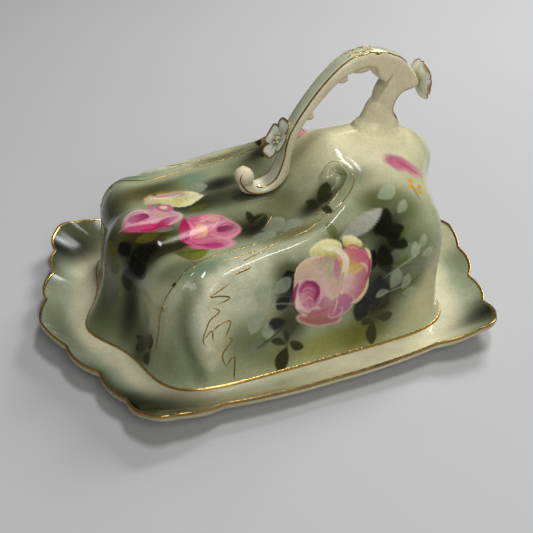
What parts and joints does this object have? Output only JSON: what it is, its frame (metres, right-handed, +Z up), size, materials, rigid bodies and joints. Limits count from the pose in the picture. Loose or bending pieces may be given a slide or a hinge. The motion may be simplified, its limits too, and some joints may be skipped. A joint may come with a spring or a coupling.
{
  "type": "butter dish",
  "caption": "Covered butter dish: a scalloped footed tray and a wedge-shaped lift-off cover with an arched scroll handle and applied blossoms.",
  "frame": {"origin": "middle of the tray's base, in the plane that the dish stands on", "axes": "+X along the tray towards the high end of the cover, +Y across the tray, +Z up"},
  "size_m": [0.2552, 0.1979, 0.1391],
  "materials": {
    "tray_glaze": "glossy",
    "cover_glaze": "glossy",
    "handle_glaze": "glossy",
    "blossom_glaze": "glossy",
    "gilding": "polished"
  },
  "bodies": {
    "tray": {"tray": "tray_glaze", "tray_rim_gilding": "gilding"},
    "cover": {"cover_shell": "cover_glaze", "cover_foot_gilding": "gilding", "handle": "handle_glaze", "front_blossom": "blossom_glaze", "rear_blossom": "blossom_glaze"}
  },
  "joints": [
    {"name": "cover_lift", "type": "slide", "parent": "tray", "child": "cover", "axis": [0, 0, 1], "range_m": [0, 0.15]}
  ]
}
